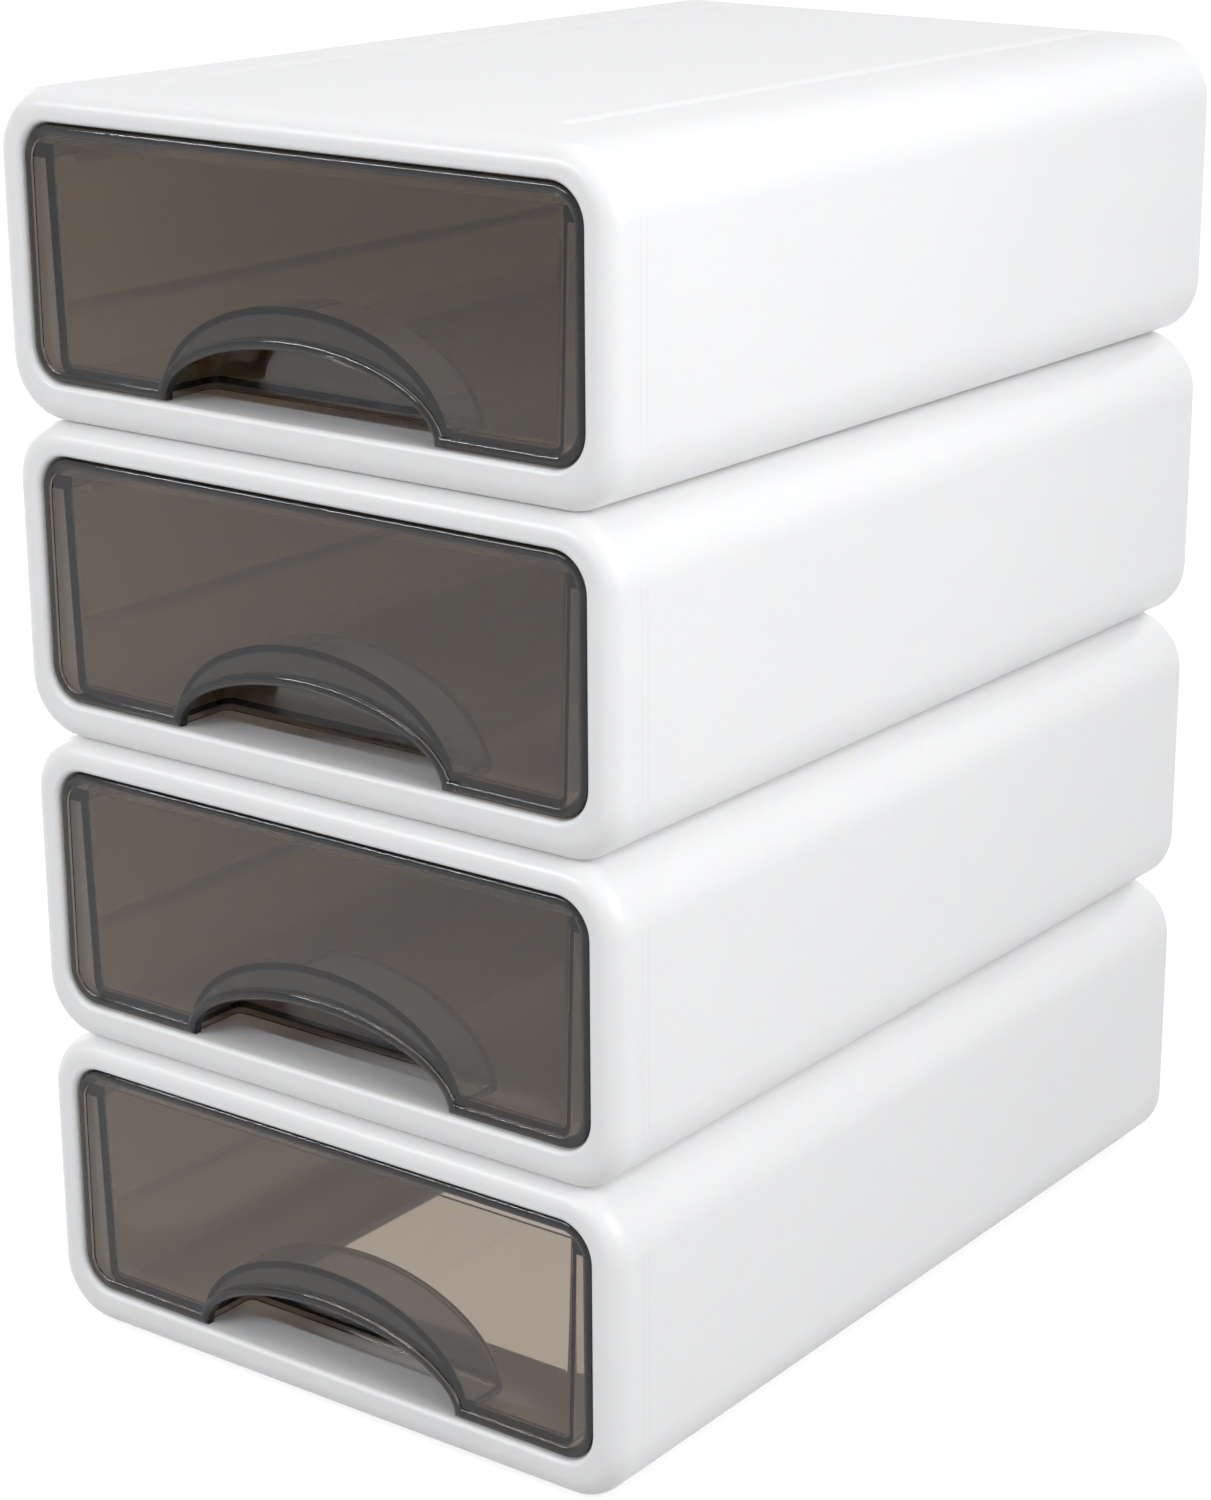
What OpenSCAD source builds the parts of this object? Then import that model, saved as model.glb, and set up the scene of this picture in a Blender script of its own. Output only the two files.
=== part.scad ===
// A stack of four drawer boxes for a desk or shelf.
// Each box is a white moulded sleeve with a smoky see-through drawer, closed
// behind by a panel that is pushed in from the back.
// X runs across the fronts, the fronts face -Y and Z is up. The origin is on
// the table, under the middle of the stack.

/* [Sleeve] */
// Width of a box
box_w = 170; // [140:1:240]
// Depth of a box from front to back
box_d = 246; // [200:1:320]
// Height of a box
box_h = 74; // [61:0.5:100]
// Radius of the four long edges
corner_r = 14.5; // [12.5:0.5:18]
// Rounding around the front face
front_round = 5; // [4:0.5:6]
// Rounding around the back edge
back_round = 2; // [1:0.1:2.1]
// Thickness of the sleeve's walls
wall = 2.2; // [1.8:0.1:3]

/* [Front opening] */
// Width of the white rim at the sides of the drawer
rim_side = 7.8; // [6.5:0.1:10]
// Width of the white rim above the drawer
rim_top = 7.4; // [6.5:0.1:10]
// Width of the white rim below the drawer
rim_bottom = 8.8; // [7:0.1:11]
// Corner radius of the opening
opening_r = 8.6; // [7:0.1:11]
// Soft edge between the rim and the collar
opening_round = 1.2; // [0.5:0.1:1.5]
// Depth of the collar that runs back from the opening
collar_d = 13; // [8:0.5:16]
// Thickness of the collar
collar_t = 1.8; // [1.5:0.1:2.5]
// Distance from the front to the webs that tie the collar to the sleeve
web_front = 9; // [6:0.5:10]
// Thickness of those webs
web_t = 2; // [1.2:0.1:2.5]

/* [Stacking ridges] */
// Distance between the two ridges on top
ridge_spacing = 110; // [90:1:116]
// Width of a ridge
ridge_w = 4.4; // [3:0.1:6]
// Height of a ridge
ridge_h = 0.7; // [0.4:0.1:1]
// Flat left in front of a ridge
ridge_front = 22; // [15:1:40]
// Flat left behind a ridge
ridge_back = 7; // [5:1:40]
// Room around a ridge in the groove that it drops into
ridge_gap = 0.35; // [0.3:0.05:0.5]

/* [Floor window] */
// Floor left between the window and the grooves beside it
window_land = 2.4; // [2:0.1:20]
// Floor left in front of the window
window_front = 43; // [30:1:80]
// Floor left behind the window
window_back = 43; // [30:1:80]
// Corner radius of the window
window_r = 12; // [6:1:20]

/* [Runners] */
// Drop from the top of the opening to the top of the drawer's flange
headroom = 4.9; // [3:0.1:8]
// Thickness of the drawer's flange
flange_t = 3.3; // [2:0.1:4]
// Width of the drawer's flange
flange_w = 3.5; // [3:0.1:5]
// How far the flange stays inside the edge of the drawer front
flange_inset = 1.6; // [1:0.1:2.5]
// Play between the flange and the ribs above and below it
runner_gap = 0.4; // [0.3:0.1:0.8]
// Play between those ribs and the drawer's side
rib_gap = 0.9; // [0.6:0.1:1.5]
// Thickness of a rib
rib_t = 2; // [1.5:0.1:3]
// Height of the stiffening rib low on the side walls
low_rib_z = 21.7; // [20:0.1:34]
// How far the stiffening rib stands off its wall
low_rib_w = 2.8; // [2:0.1:4]

/* [Back panel] */
// Thickness of the back panel
back_t = 2; // [1.6:0.1:3]
// Thickness of its rim
back_rim_t = 1.6; // [1.4:0.1:2.4]
// Depth of its rim
back_rim_d = 6; // [5:0.5:10]
// How far the panel sits inside the back edge
back_inset = 1; // [0.5:0.1:3]
// Play around the panel
back_gap = 0.2; // [0.15:0.05:0.4]
// Length of a catch on the rim
catch_l = 16; // [8:1:24]
// Distance between the two catches along an edge
catch_spacing = 80; // [50:1:100]
// Radius of a catch
catch_r = 1; // [0.8:0.1:1.2]

/* [Drawer] */
// Gap between the drawer front and the opening
front_gap = 0.3; // [0.3:0.05:1]
// How far the drawer front sits behind the rim
front_inset = 0.9; // [0.5:0.1:2]
// Thickness of the drawer front
front_t = 2.6; // [2:0.1:3]
// Width of the bead around the drawer front
bead_w = 2.6; // [1.5:0.1:3]
// Height of the bead over the pane
bead_h = 0.7; // [0.3:0.05:0.9]
// Drop from the bead to the edge of the drawer front
edge_drop = 1.1; // [0.7:0.1:1.6]
// Distance from the edge of the front to its thicker middle
pad_inset = 6.8; // [3:0.1:8]
// How much thicker the front is there
pad_t = 0.8; // [0.6:0.1:1.5]
// Thickness of the tub's walls and floor
tub_t = 1.6; // [1.4:0.1:2.2]
// Gap between the sill of the opening and the tub
tub_lift = 1.6; // [1:0.1:3]
// How much narrower the tub is at its floor, on each side
tub_draft = 1.6; // [1:0.1:6]
// Radius of the two upright edges at the back of the tub
tub_r = 9; // [6:0.5:12]
// Radius inside the tub between its floor and walls
tub_floor_r = 2; // [1:0.1:4]
// Gap behind the tub when the drawer is shut
tub_back_gap = 1.6; // [1:0.1:5]
// How far the drawer slides before it stops
drawer_travel = 180; // [120:1:185]
// Length of the ear that stops it
ear_l = 8; // [5:0.5:12]
// How far the ear catches behind the collar
ear_catch = 1.3; // [0.8:0.1:1.5]
// Gap left between the ear and the collar at the end of the travel
stop_gap = 0.5; // [0.3:0.1:1]

/* [Finger pull] */
// Width of the arch cut in the foot of the drawer front
arch_w = 75.2; // [60:0.1:90]
// Height of the arch
arch_h = 15; // [12:0.1:18]
// Width of the pocket behind the arch
pocket_w = 77.2; // [64:0.1:94]
// Height of the pocket
pocket_h = 22.7; // [20:0.1:28]
// Depth of the pocket, from the face of the drawer
pocket_d = 16.5; // [12:0.5:24]
// Radius inside the pocket, around its back wall
pocket_r = 2; // [1:0.1:5]

/* [Hidden] */

white = [0.95, 0.95, 0.94];
smoke = [0.36, 0.32, 0.28, 0.75];
$fn = 96;
past = 1;    // how far a cut runs past the face it opens
bite = 0.3;  // how far a joined shape runs into the one that carries it

// Sleeve
front_y = -box_d / 2;
back_y = box_d / 2;
inner_w = box_w - 2 * wall;
inner_h = box_h - 2 * wall;
inner_r = corner_r - wall;

// Opening and collar
opening_w = box_w - 2 * rim_side;
opening_h = box_h - rim_top - rim_bottom;
opening_z = rim_bottom + opening_h / 2;
collar_y = front_y + collar_d;

// A ridge is the crown of a round bar of this radius.
ridge_r = (ridge_w * ridge_w / 4 + ridge_h * ridge_h) / (2 * ridge_h);

// The window lies between the two grooves.
window_w = ridge_spacing - ridge_w - 2 * (ridge_gap + window_land);

// Back panel and the rib ends that it seats on
panel_y = back_y - back_inset - back_t;
seat_y = panel_y - back_rim_d;
catch_y = seat_y + 2 * catch_r;
catch_z = inner_h / 2 - back_gap - catch_r / 3;

// Drawer front
face_w = opening_w - 2 * front_gap;
face_h = opening_h - 2 * front_gap;
face_r = opening_r - front_gap;
face_z = rim_bottom + front_gap;
face_y = front_y + front_inset;
face_back_y = face_y + front_t;
corner_steps = 6;
arch_steps = 4 * corner_steps + 3;
bead_steps = 6;

// Tub, with its half widths outside
tub_z = rim_bottom + tub_lift;
tub_top_z = rim_bottom + opening_h - headroom;
flange_z = tub_top_z - flange_t;
flange_x = face_w / 2 - flange_inset;
tub_top_x = flange_x - flange_w;
tub_back_y = panel_y - tub_back_gap;
rib_x = tub_top_x + rib_gap;
ear_x = opening_w / 2 + ear_catch;
ear_y = collar_y + drawer_travel + stop_gap;
floor_steps = 3;

// Finger pull
pocket_y = face_y + pocket_d;
pocket_steps = 3;

// ---- Shared shapes ----

// A block with a rounded rectangle for its front. The child is the section of
// its edge: x runs out from the corner's axis and y runs to the back.
module round_block(w, h, r, from, to) {
    translate([r - w / 2, from, r - h / 2])
        cube([w - 2 * r, to - from, h - 2 * r]);
    for (side = [0 : 3]) {
        out = (side % 2 == 0 ? w : h) / 2 - r;
        along = (side % 2 == 0 ? h : w) / 2 - r;
        rotate([0, 90 * side, 0]) {
            translate([out, 0, 0])
                linear_extrude(2 * along, center = true)
                    children();
            translate([out, 0, -along])
                rotate([-90, 0, 0])
                    rotate_extrude(angle = 90)
                        children();
        }
    }
}

// A plain rounded block.
module plain_block(w, h, r, from, to)
    round_block(w, h, r, from, to)
        edge_section(r, from, to);

// Section of an edge, with a round at the front and at the back.
module edge_section(r, from, to, front_r = 0, back_r = 0) {
    difference() {
        translate([0, from])
            square([r, to - from]);
        if (front_r > 0)
            translate([r - front_r, from + front_r])
                mirror([0, 1])
                    corner_waste(front_r);
        if (back_r > 0)
            translate([r - back_r, to - back_r])
                corner_waste(back_r);
    }
}

// What a round takes off a square corner.
module corner_waste(r) {
    difference() {
        square(r + past);
        circle(r);
    }
}

// Skins a stack of rings that all have as many points. Each ring runs
// anticlockwise when the next one lies nearer to the eye.
module loft(rings, cap) {
    count = len(rings[0]);
    top = (len(rings) - 1) * count;
    sides = [
        for (k = [0 : len(rings) - 2])
            for (i = [0 : count - 1])
                let (j = (i + 1) % count)
                    [k * count + i, (k + 1) * count + i, (k + 1) * count + j, k * count + j]
    ];
    end = [
        for (face = cap)
            [for (i = [len(face) - 1 : -1 : 0]) top + face[i]]
    ];
    polyhedron([for (ring = rings) each ring], concat(cap, sides, end));
}

// Closes a ring that bulges all round.
function plain_cap(count) = [[for (i = [0 : count - 1]) i]];

// Closes a ring whose second half is an arch cut up into it.
function arch_cap(count) =
    [for (i = [0 : count / 2 - 2]) [i, i + 1, count - 2 - i, count - 1 - i]];

function arc(x, y, r, start, steps) =
    [for (k = [0 : steps]) let (a = start + 90 * k / steps) [x + r * cos(a), y + r * sin(a)]];

// ---- Housing ----

module sleeve_outside()
    translate([0, 0, box_h / 2])
        round_block(box_w, box_h, corner_r, front_y, back_y)
            edge_section(corner_r, front_y, back_y, front_round, back_round);

module sleeve_inside()
    translate([0, 0, box_h / 2])
        round_block(inner_w, inner_h, inner_r, front_y + wall, back_y + past)
            edge_section(inner_r, front_y + wall, back_y + past, front_round - wall);

module collar_outside()
    translate([0, 0, opening_z])
        plain_block(opening_w + 2 * collar_t, opening_h + 2 * collar_t,
                    opening_r + collar_t, front_y, collar_y);

// The way in, with the soft edge around its mouth.
module opening()
    translate([0, 0, opening_z])
        round_block(opening_w, opening_h, opening_r, front_y - past, collar_y + past) {
            union() {
                translate([0, front_y - past])
                    square([opening_r, collar_d + 2 * past]);
                translate([opening_r, front_y])
                    difference() {
                        translate([0, -past])
                            square([opening_round, opening_round + past]);
                        translate([opening_round, opening_round])
                            circle(opening_round);
                    }
            }
        }

// Two round-ended bars along the box, whose crowns stand ridge_h high.
module ridge_bars(room)
    for (x = [-ridge_spacing / 2, ridge_spacing / 2])
        translate([x, 0, ridge_h - ridge_r])
            rotate([-90, 0, 0])
                rotate_extrude()
                    edge_section(ridge_r + room,
                                 front_y + ridge_front + ridge_w / 2 - ridge_r - room,
                                 back_y - ridge_back - ridge_w / 2 + ridge_r + room,
                                 ridge_r + room, ridge_r + room);

module ridges()
    translate([0, 0, box_h])
        intersection() {
            ridge_bars(0);
            translate([-box_w / 2, front_y, -bite])
                cube([box_w, box_d, bite + ridge_h + past]);
        }

// A large window in the floor saves plastic where nothing rests on it.
module floor_window()
    translate([0, 0, -past])
        linear_extrude(wall + 2 * past)
            rounded_plan(window_w, front_y + window_front, back_y - window_back, window_r);

module rounded_plan(w, from, to, r) {
    translate([-w / 2, from + r])
        square([w, to - from - 2 * r]);
    translate([r - w / 2, from])
        square([w - 2 * r, to - from]);
    for (x = [r - w / 2, w / 2 - r], y = [from + r, to - r])
        translate([x, y])
            circle(r);
}

// One web for each flat of the sleeve, between the collar and the wall.
module webs() {
    collar_w = opening_w / 2 + collar_t - bite;
    collar_low = rim_bottom - collar_t + bite;
    collar_top = rim_bottom + opening_h + collar_t - bite;
    for (x = [-inner_w / 2 - bite, collar_w])
        translate([x, front_y + web_front, corner_r])
            cube([inner_w / 2 + bite - collar_w, web_t, box_h - 2 * corner_r]);
    for (z = [[wall - bite, collar_low], [collar_top, box_h - wall + bite]])
        translate([corner_r - box_w / 2, front_y + web_front, z[0]])
            cube([box_w - 2 * corner_r, web_t, z[1] - z[0]]);
}

// A rib along each side wall, standing in to half width x.
module side_ribs(x, z)
    for (side = [0, 180])
        rotate([0, 0, side])
            translate([x, side == 0 ? collar_y : -seat_y, z])
                cube([inner_w / 2 - x + bite, seat_y - collar_y, rib_t]);

module catches(room)
    for (x = [-catch_spacing / 2, catch_spacing / 2], z = [-catch_z, catch_z])
        translate([x, catch_y, box_h / 2 + z])
            rotate([0, 90, 0])
                cylinder(h = catch_l + 2 * room, r = catch_r + room, center = true);

module housing() {
    color(white) {
        difference() {
            sleeve_outside();
            difference() {
                sleeve_inside();
                collar_outside();
            }
            opening();
            ridge_bars(ridge_gap);
            catches(back_gap);
            floor_window();
        }
        ridges();
        webs();
        side_ribs(rib_x, flange_z - runner_gap - rib_t);
        side_ribs(rib_x, tub_top_z + runner_gap);
        side_ribs(inner_w / 2 - low_rib_w, low_rib_z);
    }
}

// ---- Back panel ----

module back_panel() {
    w = inner_w - 2 * back_gap;
    h = inner_h - 2 * back_gap;
    r = inner_r - back_gap;
    color(white) {
        difference() {
            translate([0, 0, box_h / 2])
                plain_block(w, h, r, seat_y, panel_y + back_t);
            translate([0, 0, box_h / 2])
                plain_block(w - 2 * back_rim_t, h - 2 * back_rim_t, r - back_rim_t,
                            seat_y - past, panel_y);
        }
        intersection() {
            catches(0);
            difference() {
                translate([-box_w / 2, seat_y, 0])
                    cube([box_w, back_rim_d, box_h]);
                translate([-box_w / 2, seat_y, wall + back_gap + bite])
                    cube([box_w, back_rim_d, inner_h - 2 * (back_gap + bite)]);
            }
        }
    }
}

// ---- Drawer ----

// Half an ellipse that stands on the foot of the drawer front.
function half_ellipse(w, h) =
    [for (k = [0 : arch_steps]) let (a = 180 * k / arch_steps) [w / 2 * cos(a), face_z + h * sin(a)]];

// Outline of the drawer front, drawn in by e all round. The arch grows as the
// edge draws in, and starts where it leaves the drawn-in foot.
function front_outline(e) =
    let (
        x = face_w / 2 - face_r,
        low = face_z + face_r,
        high = face_z + face_h - face_r,
        r = face_r - e,
        a = arch_w / 2 + e,
        b = arch_h + e,
        foot = asin(e / b)
    )
    concat(
        arc(x, low, r, -90, corner_steps),
        arc(x, high, r, 0, corner_steps),
        arc(-x, high, r, 90, corner_steps),
        arc(-x, low, r, 180, corner_steps),
        [for (k = [0 : arch_steps])
            let (t = 180 - foot - (180 - 2 * foot) * k / arch_steps)
                [a * cos(t), face_z + b * sin(t)]]
    );

// Depth of the bead behind its crest, where t runs from the pane to the edge.
function bead_depth(t) = (t < 90 ? bead_h : edge_drop) * (1 - sin(t));

module drawer_front() {
    bead = [
        for (k = [0 : bead_steps])
            let (t = 180 - 180 * k / bead_steps)
                [bead_w / 2 * (1 + cos(t)), bead_depth(t)]
    ];
    rings = [
        for (step = concat([[0, front_t]], bead))
            [for (p = front_outline(step[0])) [p[0], face_y + step[1], p[1]]]
    ];
    loft(rings, arch_cap(len(rings[0])));
}

module pad()
    translate([pad_inset - face_w / 2, face_back_y - bite, tub_z])
        cube([face_w - 2 * pad_inset, pad_t + bite, tub_top_z - tub_z]);

// Plan of the tub: square at the front, round at the back.
function tub_plan(half_w, from, to, r) =
    concat(
        [[half_w, from]],
        arc(half_w - r, to - r, r, 0, corner_steps),
        arc(r - half_w, to - r, r, 90, corner_steps),
        [[-half_w, from]]
    );

// Walls that lean in towards the floor, t inside the outer face.
module tub_form(t, from, floor_r, top) {
    lower = [
        for (k = [0 : floor_steps])
            let (a = 90 * k / floor_steps)
                [floor_r * (1 - sin(a)), tub_z + t + floor_r * (1 - cos(a))]
    ];
    rings = [
        for (step = concat(lower, [[0, top]]))
            let (inset = t + step[0] + tub_draft * (tub_top_z - step[1]) / (tub_top_z - tub_z))
                [for (p = tub_plan(tub_top_x - inset, from, tub_back_y - inset, tub_r - t))
                    [p[0], p[1], step[1]]]
    ];
    loft(rings, plain_cap(len(rings[0])));
}

// A flange along the top of each side, with the ear that stops the drawer.
module flanges()
    for (side = [0, 1])
        mirror([side, 0, 0])
            translate([0, 0, flange_z])
                linear_extrude(flange_t)
                    polygon([
                        [tub_top_x - tub_t / 2, face_back_y - bite],
                        [flange_x, face_back_y - bite],
                        [flange_x, ear_y],
                        [ear_x, ear_y],
                        [ear_x, ear_y + ear_l / 3],
                        [flange_x, ear_y + ear_l],
                        [flange_x, tub_back_y - tub_r],
                        [tub_top_x - tub_t / 2, tub_back_y - tub_r],
                    ]);

// A half dome that lies on its side, drawn out by room all round.
module pocket(from, to, room) {
    r = pocket_r + room;
    back = [
        for (k = [pocket_steps : -1 : 0])
            let (a = 90 * k / pocket_steps)
                [room - r * (1 - cos(a)), to - r * (1 - sin(a))]
    ];
    rings = [
        for (step = concat(back, [[room, from]]))
            [for (p = half_ellipse(pocket_w + 2 * step[0], pocket_h + step[0]))
                [p[0], step[1], p[1]]]
    ];
    loft(rings, plain_cap(len(rings[0])));
}

// What would close the arch where the tub runs into the drawer front.
module arch_way()
    translate([0, face_back_y, 0])
        rotate([90, 0, 0])
            linear_extrude(bite + past)
                polygon(half_ellipse(arch_w + 2 * bite, arch_h + bite));

module drawer() {
    color(smoke)
        difference() {
            union() {
                drawer_front();
                difference() {
                    union() {
                        pad();
                        tub_form(0, face_back_y - bite, tub_floor_r + tub_t, tub_top_z);
                    }
                    tub_form(tub_t, face_back_y + pad_t, tub_floor_r, tub_top_z + past);
                    arch_way();
                }
                flanges();
                pocket(face_back_y + bite, pocket_y + tub_t, tub_t);
            }
            pocket(face_back_y, pocket_y, 0);
        }
}

// ---- The stack ----

for (box = [1 : 4])
    translate([0, 0, (box - 1) * box_h]) {
        housing();
        back_panel();
        drawer();
    }
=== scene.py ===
"""A stack of four drawer boxes on a white studio floor, seen from the front right.

The housings and back panels are the CAD meshes in a moulded white plastic. Each smoky drawer is one closed
mesh of the CAD drawer's sizes with finer rounds, joined from solids that are lofted through rings of points.
"""

import math

import bmesh
import bpy
from mathutils import Matrix, Vector


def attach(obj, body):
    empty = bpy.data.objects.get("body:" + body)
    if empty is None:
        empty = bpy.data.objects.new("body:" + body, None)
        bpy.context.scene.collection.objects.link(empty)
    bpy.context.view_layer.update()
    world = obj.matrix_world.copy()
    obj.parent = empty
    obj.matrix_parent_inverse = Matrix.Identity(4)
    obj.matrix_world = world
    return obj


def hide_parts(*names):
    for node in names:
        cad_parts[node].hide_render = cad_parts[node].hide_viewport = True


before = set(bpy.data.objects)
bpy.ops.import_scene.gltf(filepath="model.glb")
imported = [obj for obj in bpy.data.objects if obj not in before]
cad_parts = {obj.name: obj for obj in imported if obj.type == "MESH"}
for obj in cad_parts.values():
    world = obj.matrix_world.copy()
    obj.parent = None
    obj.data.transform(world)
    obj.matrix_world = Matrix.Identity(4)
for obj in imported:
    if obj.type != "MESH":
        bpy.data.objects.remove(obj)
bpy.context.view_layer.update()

BOXES = range(1, 5)
MM = 0.001
BOX_PITCH = 74.0


def add_object(name, data):
    added = bpy.data.objects.new(name, data)
    bpy.context.scene.collection.objects.link(added)
    return added


def object_from(name, work):
    """An object with the shape in a bmesh, which it uses up."""
    mesh = bpy.data.meshes.new(name)
    work.to_mesh(mesh)
    work.free()
    return add_object(name, mesh)


def paint(object_, material):
    object_.data.materials.clear()
    object_.data.materials.append(material)


# ---- Camera: fitted to the edges of the boxes in the photograph, in metres and radians ----

PHOTO_WIDTH_PX = 1211
PHOTO_HEIGHT_PX = 1500
FOCAL_PX = 3431.5
AXIS_PX = (741.7, 747.1)
CAMERA_AT = (0.4815, -0.6493, 0.3879)
CAMERA_AZIMUTH = 0.6073
CAMERA_ELEVATION = 0.3110
CAMERA_ROLL = 0.0069
SENSOR_MM = 36.0
CLIP_NEAR = 0.01
CLIP_FAR = 20


def add_camera():
    """The camera, whose sensor width goes along the frame's longer side, its height."""
    data = bpy.data.cameras.new("camera")
    data.sensor_width = SENSOR_MM
    data.lens = SENSOR_MM * FOCAL_PX / PHOTO_HEIGHT_PX
    data.shift_x = -(AXIS_PX[0] - PHOTO_WIDTH_PX / 2) / PHOTO_HEIGHT_PX
    data.shift_y = (AXIS_PX[1] - PHOTO_HEIGHT_PX / 2) / PHOTO_HEIGHT_PX
    data.clip_start = CLIP_NEAR
    data.clip_end = CLIP_FAR
    camera = add_object("camera", data)
    swing = Matrix.Rotation(CAMERA_AZIMUTH, 4, "Z")
    tilt = Matrix.Rotation(math.pi / 2 - CAMERA_ELEVATION, 4, "X")
    roll = Matrix.Rotation(CAMERA_ROLL, 4, "Z")
    camera.matrix_world = Matrix.Translation(CAMERA_AT) @ swing @ tilt @ roll
    bpy.context.scene.camera = camera


# ---- Nodes ----


def new_material(name):
    material = bpy.data.materials.new(name)
    material.use_nodes = True
    tree = material.node_tree
    return material, tree, tree.nodes["Principled BSDF"]


def feed(tree, socket, value):
    """Gives a socket a number or a colour, or links another node's output to it."""
    if isinstance(value, bpy.types.NodeSocket):
        tree.links.new(value, socket)
    else:
        socket.default_value = value


def feed_all(tree, node, values):
    for name, value in values.items():
        feed(tree, node.inputs[name], value)


def add_node(tree, kind, settings=(), **values):
    """A node with its settings and its inputs, in whose names a space is written as _."""
    node = tree.nodes.new(kind)
    for name, value in dict(settings).items():
        setattr(node, name, value)
    feed_all(tree, node, {name.replace("_", " "): value for name, value in values.items()})
    return node


def calculate(tree, operation, *values):
    node = add_node(tree, "ShaderNodeMath", {"operation": operation})
    for socket, value in zip(node.inputs, values):
        feed(tree, socket, value)
    return node.outputs[0]


def noise(tree, where, per_metre, detail):
    return add_node(tree, "ShaderNodeTexNoise", Vector=where, Scale=per_metre, Detail=detail).outputs["Fac"]


NOISE_LOW = 0.3
NOISE_HIGH = 0.7


def spread(tree, noisy, low, high):
    """Noise stretched from its usual range to another one."""
    return add_node(
        tree, "ShaderNodeMapRange",
        Value=noisy, From_Min=NOISE_LOW, From_Max=NOISE_HIGH, To_Min=low, To_Max=high,
    ).outputs[0]


def bump(tree, height, strength, distance):
    return add_node(
        tree, "ShaderNodeBump", Height=height, Strength=strength, Distance=distance,
    ).outputs["Normal"]


def place_on_part(tree):
    """The shaded point, which moves with the part: as a vector, and as X, Y and Z in metres."""
    where = tree.nodes.new("ShaderNodeTexCoord").outputs["Object"]
    return where, add_node(tree, "ShaderNodeSeparateXYZ", Vector=where).outputs


def hairline(tree, coordinate, at, half_width):
    """1 in the middle of a soft line across a coordinate, 0 away from it."""
    away = calculate(tree, "ABSOLUTE", calculate(tree, "SUBTRACT", coordinate, at))
    return add_node(
        tree, "ShaderNodeMapRange", {"interpolation_type": "SMOOTHSTEP"},
        Value=away, From_Min=half_width, From_Max=0.0,
    ).outputs[0]


def between(tree, coordinate, low, high):
    """1 where a coordinate lies between two values, 0 elsewhere."""
    above = calculate(tree, "GREATER_THAN", coordinate, low)
    return calculate(tree, "MULTIPLY", above, calculate(tree, "LESS_THAN", coordinate, high))


def specks(tree, where, per_metre, radius, share):
    """1 on sparse round specks. Share is the part of the texture's cells that hold one."""
    cells = add_node(tree, "ShaderNodeTexVoronoi", Vector=where, Scale=per_metre)
    near = calculate(tree, "LESS_THAN", cells.outputs["Distance"], radius * per_metre)
    pick = add_node(tree, "ShaderNodeSeparateXYZ", Vector=cells.outputs["Color"]).outputs[0]
    return calculate(tree, "MULTIPLY", near, calculate(tree, "LESS_THAN", pick, share))


def shade_where(tree, mask, shade):
    """That shade where the mask is 1, and 1 where it is 0."""
    return calculate(tree, "MULTIPLY_ADD", mask, shade - 1, 1.0)


def seen_rays(tree):
    """1 for rays that come from the camera, straight, off gloss or through glass, 0 for others."""
    path = tree.nodes.new("ShaderNodeLightPath").outputs
    straight_or_gloss = calculate(tree, "MAXIMUM", path["Is Camera Ray"], path["Is Glossy Ray"])
    return calculate(tree, "MAXIMUM", straight_or_gloss, path["Is Transmission Ray"])


def mix_surfaces(tree, factor, first, second):
    """Makes the material's surface the first shader where the factor is 0, the second where it is 1."""
    mix = tree.nodes.new("ShaderNodeMixShader")
    for socket, value in zip(mix.inputs, (factor, first, second)):
        tree.links.new(value, socket)
    tree.links.new(mix.outputs[0], tree.nodes["Material Output"].inputs["Surface"])


# ---- White plastic, lengths in metres ----

WHITE = (0.89, 0.876, 0.868)
PLASTIC_IOR = 1.5
SLOW_PER_METRE = 14.0
SLOW_DETAIL = 3.0
SLOW_TONE = (0.985, 1.0)
SLOW_ROUGHNESS = (0.29, 0.37)
DIRT_PER_METRE = 45
DIRT_RADIUS = 0.0003
DIRT_SHARE = 0.12
DIRT_SHADE = 0.82
GRAIN_PER_METRE = 1800.0
GRAIN_DETAIL = 2.0
GRAIN_STRENGTH = 0.12
GRAIN_HEIGHT = 0.00005
SCATTER_SHARE = 0.6
SCATTER_RADIUS = (1.0, 0.75, 0.5)
SCATTER_SCALE = 0.003

SIDE_X = 0.084
WITNESS_LINES_Y = (-0.1143, -0.1122)
WITNESS_LINE_Z = (0.014, 0.060)
WITNESS_LINE_HALF_W = 0.00028
WITNESS_SHADE = 0.93
WITNESS_DEPTH = 2.0


def white_plastic():
    """Satin moulded plastic: a fine grain, slow changes of gloss and tone, specks and mould lines."""
    material, tree, shader = new_material("white_plastic")
    where, (x, y, z) = place_on_part(tree)
    lines = witness_lines(tree, x, y, z)
    slow = noise(tree, where, SLOW_PER_METRE, SLOW_DETAIL)
    colour = add_node(
        tree, "ShaderNodeMix", {"data_type": "RGBA", "blend_type": "MULTIPLY"},
        Factor=1.0, A=(*WHITE, 1), B=white_shade(tree, where, lines, slow),
    )
    feed_all(tree, shader, {
        "Base Color": colour.outputs["Result"],
        "Roughness": spread(tree, slow, *SLOW_ROUGHNESS),
        "Normal": grain(tree, where, lines),
        "IOR": PLASTIC_IOR,
        "Subsurface Weight": SCATTER_SHARE,
        "Subsurface Radius": SCATTER_RADIUS,
        "Subsurface Scale": SCATTER_SCALE,
    })
    return material


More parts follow.
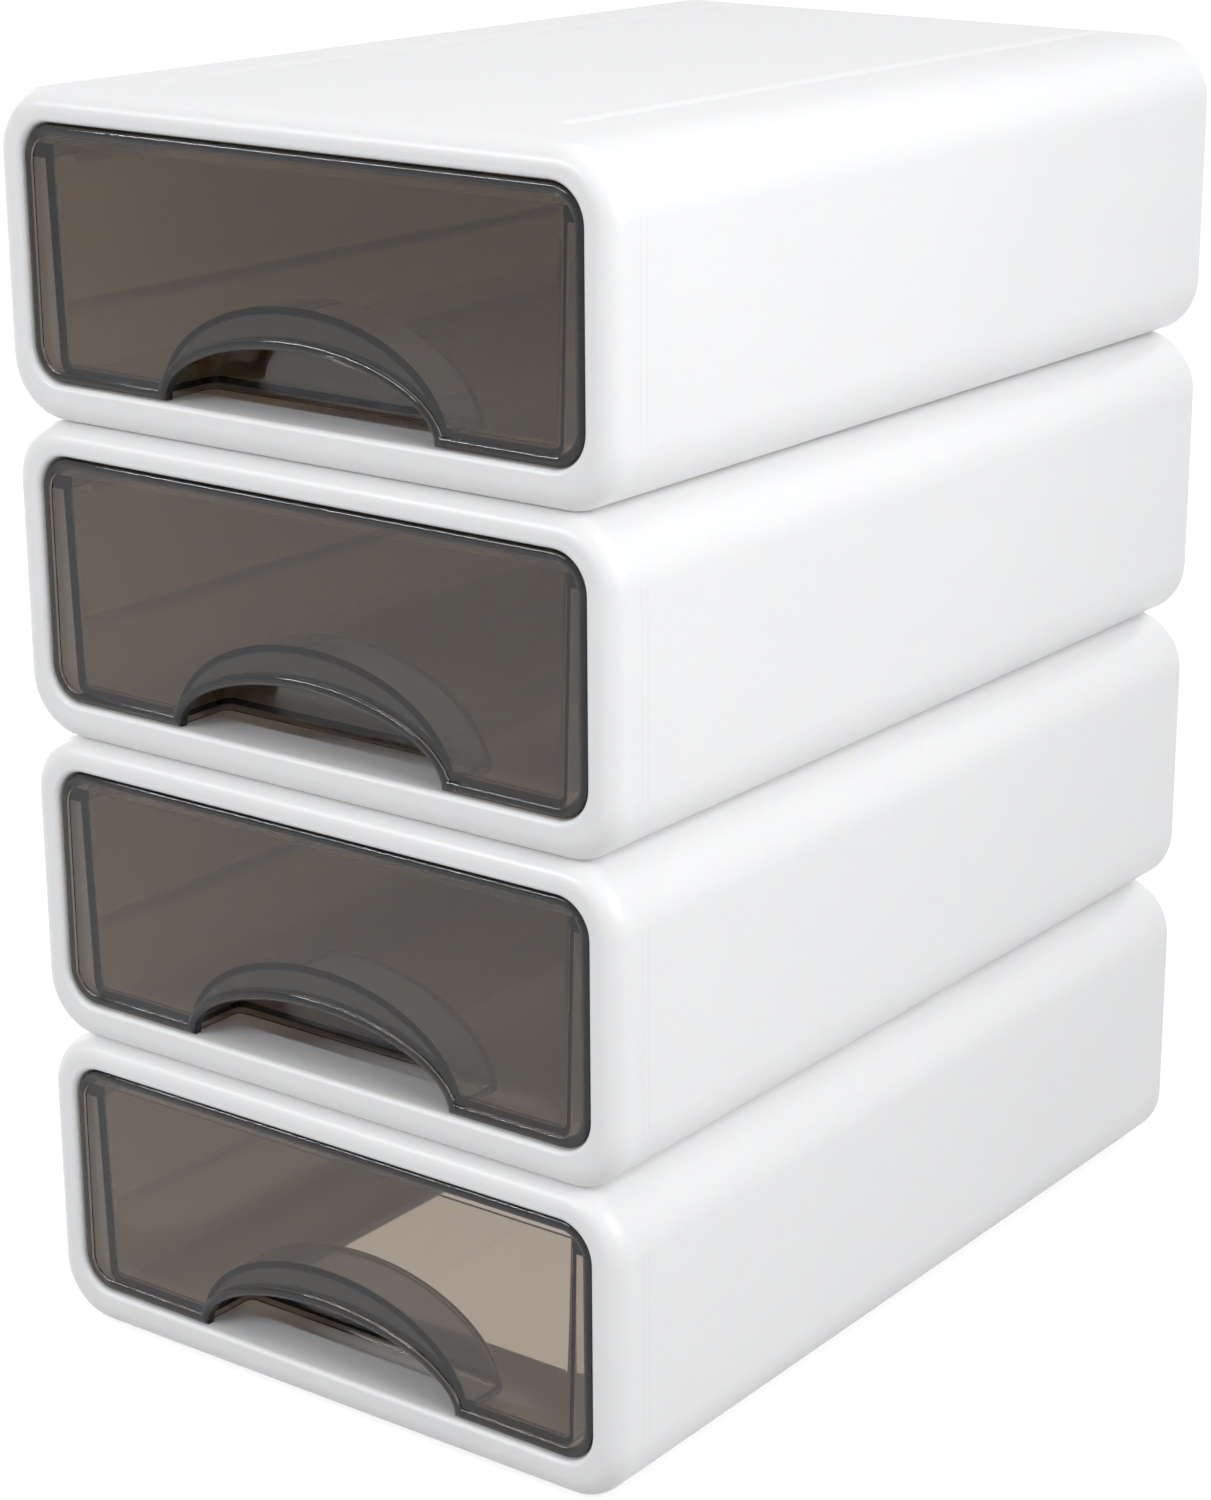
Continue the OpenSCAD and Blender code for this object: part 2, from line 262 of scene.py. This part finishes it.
def white_shade(tree, where, lines, slow):
    dirt = specks(tree, where, DIRT_PER_METRE, DIRT_RADIUS, DIRT_SHARE)
    marks = calculate(
        tree, "MULTIPLY", shade_where(tree, lines, WITNESS_SHADE), shade_where(tree, dirt, DIRT_SHADE),
    )
    return calculate(tree, "MULTIPLY", marks, spread(tree, slow, *SLOW_TONE))


def witness_lines(tree, x, y, z):
    """1 on two upright lines near the front of each side, where the mould's slides met."""
    height = calculate(tree, "MODULO", z, BOX_PITCH * MM)
    on_side = calculate(tree, "GREATER_THAN", calculate(tree, "ABSOLUTE", x), SIDE_X)
    both = calculate(
        tree, "MAXIMUM", *[hairline(tree, y, at, WITNESS_LINE_HALF_W) for at in WITNESS_LINES_Y],
    )
    along = between(tree, height, *WITNESS_LINE_Z)
    return calculate(tree, "MULTIPLY", both, calculate(tree, "MULTIPLY", along, on_side))


def grain(tree, where, lines):
    """A fine grain, in which the mould lines are grooves."""
    fine = noise(tree, where, GRAIN_PER_METRE, GRAIN_DETAIL)
    height = calculate(tree, "MULTIPLY_ADD", lines, -WITNESS_DEPTH, fine)
    return bump(tree, height, GRAIN_STRENGTH, GRAIN_HEIGHT)


# ---- Smoky plastic, lengths in metres ----

SMOKE_ABSORBED_PER_M = (130, 166, 206)
SMOKE_DENSITY = 220
LAMP_LIGHT_KEPT = 0.86
POLISHED = 0.03
POCKET_ROUGHNESS = 0.05
NO_TINT = (1, 1, 1)
# Painted shade and painted reflection: a grey-blue tint on the finger pocket's surfaces darkens them and
# gives a blue cast, though they are the same plastic as the rest.
POCKET_PAINTED_SHADE = (0.56, 0.575, 0.60)
# Painted shade: a dark grey tint on the beaded edge and the arch's edge of the front darkens them, standing
# in for the longer way of light through the edge, though it is the same plastic.
EDGE_PAINTED_SHADE = (0.30, 0.31, 0.335)
RIPPLES_PER_METRE = 22.0
RIPPLE_DETAIL = 1.0
RIPPLE_STRENGTH = 0.6
RIPPLE_HEIGHT = 0.0003
DUST_PER_METRE = 55
DUST_RADIUS = 0.00035
DUST_SHARE = 0.12
DUST_HEIGHT = 0.25


def smoky_plastic(name, roughness, painted_shade, rippled=False):
    """See-through plastic that takes its smoke colour from the way light goes inside it. A grey surface
    colour, where one is given, is painted shade.
    """
    material, tree, shader = new_material(name)
    feed_all(tree, shader, {
        # Base Color holds the painted shade: white for the clear plastic, grey for the pocket and the edge.
        "Base Color": (*painted_shade, 1),
        "Roughness": roughness,
        "IOR": PLASTIC_IOR,
        "Transmission Weight": 1.0,
    })
    if rippled:
        tree.links.new(ripples(tree), shader.inputs["Normal"])
    let_lamps_through(tree, shader)
    colour = (*[1 - absorbed / SMOKE_DENSITY for absorbed in SMOKE_ABSORBED_PER_M], 1)
    smoke = add_node(tree, "ShaderNodeVolumeAbsorption", Color=colour, Density=SMOKE_DENSITY)
    tree.links.new(smoke.outputs[0], tree.nodes["Material Output"].inputs["Volume"])
    return material


def ripples(tree):
    """Slow waves of the moulded sheet, with a few specks of dust in it."""
    where, _ = place_on_part(tree)
    slow = noise(tree, where, RIPPLES_PER_METRE, RIPPLE_DETAIL)
    dust = specks(tree, where, DUST_PER_METRE, DUST_RADIUS, DUST_SHARE)
    height = calculate(tree, "MULTIPLY_ADD", dust, DUST_HEIGHT, slow)
    return bump(tree, height, RIPPLE_STRENGTH, RIPPLE_HEIGHT)


def let_lamps_through(tree, shader):
    """Lets the lamps light what is behind the plastic, which they wouldn't through refraction alone."""
    clear = add_node(tree, "ShaderNodeBsdfTransparent", Color=(*[LAMP_LIGHT_KEPT] * 3, 1))
    path = tree.nodes.new("ShaderNodeLightPath")
    mix_surfaces(tree, path.outputs["Is Shadow Ray"], shader.outputs[0], clear.outputs[0])


def drawer_materials():
    """The drawer's materials in the order of its slots: clear, pocket and edge; the pocket and the edge
    carry painted shade.
    """
    return (
        smoky_plastic("smoky_plastic", POLISHED, NO_TINT, rippled=True),
        smoky_plastic("smoky_pocket_painted_shade", POCKET_ROUGHNESS, POCKET_PAINTED_SHADE),
        smoky_plastic("smoky_edge_painted_shade", POLISHED, EDGE_PAINTED_SHADE),
    )


# ---- Drawers: the CAD drawer's sizes in millimetres, in the bottom box. Y grows to the back ----

FACE_HALF_W = 76.9
FACE_LOW = 9.1
FACE_HIGH = 66.3
FACE_R = 8.3
FACE_Y = -122.1
FACE_BACK_Y = -119.5
EDGE_DROP = 1.1
BEAD_W = 2.6
BEAD_H = 0.7

ARCH_HALF_W = 37.6
ARCH_H = 15.0
POCKET_HALF_W = 38.6
POCKET_H = 22.7
POCKET_BACK_Y = -105.6
POCKET_R = 2.0

TUB_WALL = 1.6
TUB_LOW = 10.4
TUB_HIGH = 61.7
TUB_HALF_W = 71.8
TUB_BACK_Y = 118.4
TUB_DRAFT = 1.6
TUB_BACK_R = 9.0
TUB_FLOOR_R = 2.0
TUB_FRONT_R = 1.0
TUB_RIM_R = 0.5
FRONT_THICKENING = 0.8

FLANGE_LOW = 58.4
FLANGE_HALF_W = 75.3
EAR_HALF_W = 78.5
EAR_Y = 70.5
EAR_LENGTH = 8.0

ROUND_STEPS = 12
ARCH_STEPS = 72
QUARTER = [math.pi / 2 * k / ROUND_STEPS for k in range(ROUND_STEPS + 1)]
QUAD_CORNERS = 4
SHARP_DEGREES = 32

# How far joined solids run into each other, cutting ones past what they cut, and the pocket's room into
# the pane.
BITE = 0.3
PAST = 1.0
NIP = 0.01

CLEAR_SLOT, POCKET_SLOT, EDGE_SLOT = DRAWER_SLOTS = range(3)


def quarter_turn(x, y, r, start):
    angles = [math.radians(start + 90 * k / ROUND_STEPS) for k in range(ROUND_STEPS + 1)]
    return [(x + r * math.cos(a), y + r * math.sin(a)) for a in angles]


def front_outline(inset):
    """The outline of the front in X and Z. The arch grows as the rest draws in."""
    x, low, high = FACE_HALF_W - FACE_R, FACE_LOW + FACE_R, FACE_HIGH - FACE_R
    r = FACE_R - inset
    a, b = ARCH_HALF_W + inset, ARCH_H + inset
    foot = math.asin(inset / b)
    angles = [math.pi - foot - (math.pi - 2 * foot) * k / ARCH_STEPS for k in range(ARCH_STEPS + 1)]
    return (
        quarter_turn(x, low, r, -90) + quarter_turn(x, high, r, 0)
        + quarter_turn(-x, high, r, 90) + quarter_turn(-x, low, r, 180)
        + [(a * math.cos(t), FACE_LOW + b * math.sin(t)) for t in angles]
    )


def arch(half_w, height, below=0.0):
    """Half an ellipse in X and Z on the front's lower edge, drawn down by that much below it."""
    angles = [math.pi * k / ARCH_STEPS for k in range(ARCH_STEPS + 1)]
    points = [(half_w * math.cos(t), FACE_LOW + height * math.sin(t)) for t in angles]
    if below:
        points = [(half_w, FACE_LOW - below)] + points + [(-half_w, FACE_LOW - below)]
    return points


def plan(half_w, front, back, front_r, back_r):
    """A rounded rectangle in X and Y."""
    return (
        quarter_turn(half_w - back_r, back - back_r, back_r, 0)
        + quarter_turn(back_r - half_w, back - back_r, back_r, 90)
        + quarter_turn(front_r - half_w, front + front_r, front_r, 180)
        + quarter_turn(half_w - front_r, front + front_r, front_r, 270)
    )


def skin(rings, slot=CLEAR_SLOT):
    """A closed solid through rings that all have as many points."""
    work = bmesh.new()
    loops = [[work.verts.new(p) for p in ring] for ring in rings]
    for near, far in zip(loops, loops[1:]):
        for i in range(len(near)):
            j = (i + 1) % len(near)
            work.faces.new((near[i], near[j], far[j], far[i]))
    work.faces.new(loops[0])
    work.faces.new(loops[-1])
    for face in work.faces:
        face.material_index = slot
    bmesh.ops.recalc_face_normals(work, faces=work.faces)
    solid = object_from("solid", work)
    for _ in DRAWER_SLOTS:
        solid.data.materials.append(None)
    return solid


def clear_ends(solid):
    """Gives the solid's two end faces, the only ones that are not quads, the clear material."""
    for face in solid.data.polygons:
        if len(face.vertices) > QUAD_CORNERS:
            face.material_index = CLEAR_SLOT
    return solid


def evaluated_mesh(object_):
    graph = bpy.context.evaluated_depsgraph_get()
    return bpy.data.meshes.new_from_object(object_.evaluated_get(graph))


def combine(body, other, operation):
    """Joins another solid to the body or cuts it from it, and uses it up."""
    step = body.modifiers.new("combine", "BOOLEAN")
    step.operation = operation
    step.solver = "EXACT"
    step.object = other
    mesh = evaluated_mesh(body)
    body.modifiers.clear()
    body.data = mesh
    bpy.data.objects.remove(other)


def front_solid():
    """The front plate, whose beaded edge is a half round that drops further outside than inside."""
    profile = [(0, FACE_BACK_Y - FACE_Y)]
    for k in range(2 * ROUND_STEPS + 1):
        t = math.pi - math.pi * k / (2 * ROUND_STEPS)
        drop = BEAD_H if t < math.pi / 2 else EDGE_DROP
        profile.append((BEAD_W / 2 * (1 + math.cos(t)), drop * (1 - math.sin(t))))
    front = skin([
        [(x, FACE_Y + depth, z) for x, z in front_outline(inset)]
        for inset, depth in profile
    ], EDGE_SLOT)
    return clear_ends(front)


def tub_profile(inside):
    """How far the tub's sides draw in at each height, from the floor's round to the rim's."""
    wall = TUB_WALL if inside else 0.0
    floor_r = TUB_FLOOR_R if inside else TUB_FLOOR_R + TUB_WALL
    steps = [
        (floor_r * (1 - math.sin(a)), TUB_LOW + wall + floor_r * (1 - math.cos(a)))
        for a in QUARTER
    ]
    for a in QUARTER:
        lip = TUB_RIM_R * (1 - math.cos(a))
        steps.append((-lip if inside else lip, TUB_HIGH - TUB_RIM_R * (1 - math.sin(a))))
    if inside:
        steps.append((-TUB_RIM_R, TUB_HIGH + PAST))
    return steps


def tub_solid(inside):
    """The tub's outside, or with inside the room that its walls leave."""
    wall = TUB_WALL if inside else 0.0
    front = FACE_BACK_Y + FRONT_THICKENING if inside else FACE_BACK_Y - BITE
    front_r = TUB_FRONT_R if inside else BITE / 2
    rings = []
    for inset, z in tub_profile(inside):
        lean = TUB_DRAFT * (TUB_HIGH - z) / (TUB_HIGH - TUB_LOW)
        half_w = TUB_HALF_W - wall - inset - lean
        back = TUB_BACK_Y - wall - inset - lean
        ahead = front + max(inset, 0.0) if inside else front
        outline = plan(half_w, ahead, back, front_r, TUB_BACK_R - wall)
        rings.append([(x, y, z) for x, y in outline])
    return skin(rings)


def pocket_solid(inside):
    """The finger pocket's shell, or with inside the room in it."""
    room = 0.0 if inside else TUB_WALL
    front = FACE_BACK_Y - (NIP if inside else BITE)
    back = POCKET_BACK_Y + room
    r = POCKET_R + room
    below = PAST if inside else 0.0
    steps = [(room, front)]
    for a in QUARTER:
        steps.append((room - r * (1 - math.cos(a)), back - r * (1 - math.sin(a))))
    rings = [
        [(x, y, z) for x, z in arch(POCKET_HALF_W + grow, POCKET_H + grow, below)]
        for grow, y in steps
    ]
    return skin(rings, POCKET_SLOT)


def arch_way():
    """What would close the arch where the tub runs into the front."""
    outline = arch(ARCH_HALF_W + BITE, ARCH_H + BITE, PAST)
    return skin([[(x, y, z) for x, z in outline] for y in (FACE_BACK_Y - BITE - PAST, FACE_BACK_Y)])


def flange(side):
    """The flange along one side of the rim, with the ear that stops the drawer."""
    x_in = TUB_HALF_W - TUB_WALL / 2
    y_end = TUB_BACK_Y - TUB_BACK_R
    outline = [
        (x_in, FACE_BACK_Y - BITE), (FLANGE_HALF_W, FACE_BACK_Y - BITE), (FLANGE_HALF_W, EAR_Y),
        (EAR_HALF_W, EAR_Y), (EAR_HALF_W, EAR_Y + EAR_LENGTH / 3),
        (FLANGE_HALF_W, EAR_Y + EAR_LENGTH), (FLANGE_HALF_W, y_end), (x_in, y_end),
    ]
    return skin([[(side * x, y, z) for x, y in outline] for z in (FLANGE_LOW, TUB_HIGH)])


def even_shading(body):
    """Smooth across the rounds, flat on the flats and crisp at real edges."""
    body.data.shade_smooth()
    body.data.set_sharp_from_angle(angle=math.radians(SHARP_DEGREES))
    weights = body.modifiers.new("weights", "WEIGHTED_NORMAL")
    weights.keep_sharp = True
    return evaluated_mesh(body)


def drawer_mesh():
    """The bottom drawer's mesh, in metres."""
    body = tub_solid(inside=False)
    combine(body, tub_solid(inside=True), "DIFFERENCE")
    combine(body, pocket_solid(inside=False), "UNION")
    combine(body, arch_way(), "DIFFERENCE")
    combine(body, front_solid(), "UNION")
    for side in (-1, 1):
        combine(body, flange(side), "UNION")
    combine(body, pocket_solid(inside=True), "DIFFERENCE")
    mesh = even_shading(body)
    bpy.data.objects.remove(body)
    mesh.transform(Matrix.Scale(MM, 4))
    return mesh


def add_drawers(materials):
    first = drawer_mesh()
    for box in BOXES:
        mesh = first.copy()
        mesh.transform(Matrix.Translation((0, 0, BOX_PITCH * MM * (box - 1))))
        for slot, material in enumerate(materials):
            mesh.materials[slot] = material
        drawer = add_object(f"smoky_drawer_{box}", mesh)
        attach(drawer, f"tray_{box}")
        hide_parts(f"drawer_{box}")


# ---- Studio, in metres and watts ----

FLOOR_HALF_W = 6
FLOOR_GREY = 0.42
FLOOR_ROUGHNESS = 0.6
FLOOR_GLOW = 0.74
WORLD_LIGHT = 0.52
LAMP_COLOUR = (0.94, 0.965, 1.0)

# Name, place, the point that it faces, width, height and power.
LAMPS = (
    ("right", (0.6, -0.16, 0.46), (0, 0, 0.22), 0.4, 0.4, 2.4),
    ("top", (0.1, -0.1, 1.3), (0, 0, 0.3), 0.8, 0.8, 1.9),
    ("back", (0, 1.2, 0.45), (0, 0, 0.15), 0.4, 0.4, 1.8),
    ("left", (-1.15, 0.25, 0.45), (0, 0, 0.15), 0.4, 0.4, 1.8),
    ("front_left", (-0.66, -1.16, 0.74), (0, -0.12, 0.2), 0.8, 0.12, 6.2),
)


def add_floor():
    work = bmesh.new()
    bmesh.ops.create_grid(work, x_segments=1, y_segments=1, size=FLOOR_HALF_W)
    floor = object_from("floor", work)
    paint(floor, white_floor())


def white_floor():
    """A grey floor for the lamps' light and shadows, with a glow that makes it white where it is seen."""
    material, tree, shader = new_material("floor")
    feed_all(tree, shader, {"Base Color": (*[FLOOR_GREY] * 3, 1), "Roughness": FLOOR_ROUGHNESS})
    glow = add_node(tree, "ShaderNodeEmission", Strength=FLOOR_GLOW)
    both = tree.nodes.new("ShaderNodeAddShader")
    tree.links.new(shader.outputs[0], both.inputs[0])
    tree.links.new(glow.outputs[0], both.inputs[1])
    mix_surfaces(tree, seen_rays(tree), shader.outputs[0], both.outputs[0])
    return material


def add_world():
    """A world that is white where it is seen and gives less light than that."""
    world = bpy.data.worlds.new("studio")
    bpy.context.scene.world = world
    world.use_nodes = True
    tree = world.node_tree
    strength = add_node(
        tree, "ShaderNodeMapRange", Value=seen_rays(tree), To_Min=WORLD_LIGHT, To_Max=1.0,
    )
    feed_all(tree, tree.nodes["Background"], {"Color": (1, 1, 1, 1), "Strength": strength.outputs[0]})


def add_lamp(name, at, target, width, height, watts):
    data = bpy.data.lights.new(name, "AREA")
    data.shape = "RECTANGLE"
    data.size = width
    data.size_y = height
    data.energy = watts
    data.color = LAMP_COLOUR
    aim = Vector(target) - Vector(at)
    facing = aim.to_track_quat("-Z", "Y").to_matrix().to_4x4()
    add_object(name, data).matrix_world = Matrix.Translation(at) @ facing


add_camera()
add_world()
add_floor()
for lamp in LAMPS:
    add_lamp(*lamp)

white = white_plastic()
for box in BOXES:
    paint(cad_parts[f"housing_{box}"], white)
    paint(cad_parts[f"back_panel_{box}"], white)
add_drawers(drawer_materials())

bpy.context.scene.view_settings.view_transform = "Standard"
